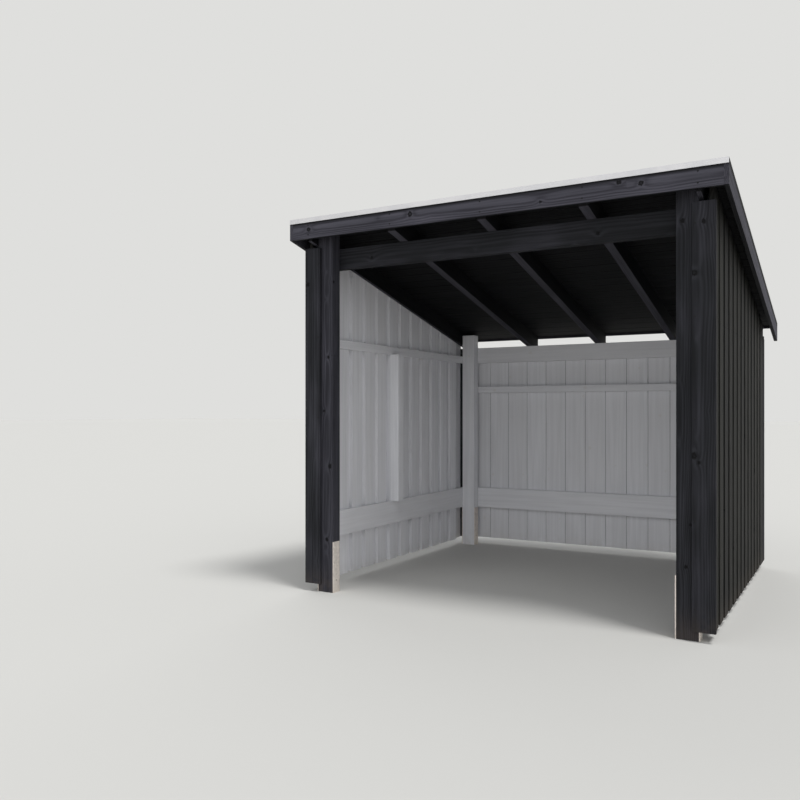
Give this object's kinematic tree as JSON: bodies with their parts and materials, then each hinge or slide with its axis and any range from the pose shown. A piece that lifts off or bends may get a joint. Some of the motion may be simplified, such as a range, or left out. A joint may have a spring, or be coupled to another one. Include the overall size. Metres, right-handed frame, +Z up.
{
  "type": "bike shelter",
  "caption": "Open-fronted timber bike shelter, black outside and white inside, with a single-pitch felt roof falling to the back and board-on-board side walls.",
  "frame": {"origin": "middle of the shelter's outline seen from above, on the ground its posts stand on", "axes": "+X to the right of someone facing the open front, +Y from the open front to the back wall, +Z up"},
  "size_m": [2.266, 2.147, 2.0462],
  "materials": {
    "black_stained_timber": "black opaque stain on sawn spruce, matt",
    "white_painted_timber": "white exterior wood paint, matt",
    "roofing_felt": "slated black bitumen felt",
    "galvanised_steel": "hot-dip galvanised, dull",
    "edge_metal": "mill aluminium, weathered"
  },
  "bodies": {
    "root": {"front_left_post": "black_stained_timber", "front_right_post": "black_stained_timber", "back_left_post": "white_painted_timber", "back_right_post": "white_painted_timber", "front_left_anchor": "galvanised_steel", "front_right_anchor": "galvanised_steel", "back_left_anchor": "galvanised_steel", "back_right_anchor": "galvanised_steel", "front_beam": "black_stained_timber", "back_beam": "white_painted_timber", "rafter_1": "black_stained_timber", "rafter_2": "black_stained_timber", "rafter_3": "black_stained_timber", "rafter_4": "black_stained_timber", "rafter_5": "black_stained_timber", "roof_deck": "black_stained_timber", "roof_felt": "roofing_felt", "left_verge": "roofing_felt", "right_verge": "roofing_felt", "left_fascia": "black_stained_timber", "right_fascia": "black_stained_timber", "front_fascia": "black_stained_timber", "eaves_board": "black_stained_timber", "front_drip_edge": "edge_metal", "left_upper_rail": "white_painted_timber", "right_upper_rail": "white_painted_timber", "left_lower_rail": "white_painted_timber", "right_lower_rail": "white_painted_timber", "left_stud": "white_painted_timber", "right_stud": "white_painted_timber", "left_inner_boards": "white_painted_timber", "right_inner_boards": "white_painted_timber", "left_outer_boards": "black_stained_timber", "right_outer_boards": "black_stained_timber", "left_corner_board": "black_stained_timber", "right_corner_board": "black_stained_timber", "left_corner_stud": "black_stained_timber", "right_corner_stud": "black_stained_timber", "back_middle_rail": "white_painted_timber", "back_lower_rail": "white_painted_timber", "back_boards": "white_painted_timber"}
  },
  "joints": []
}
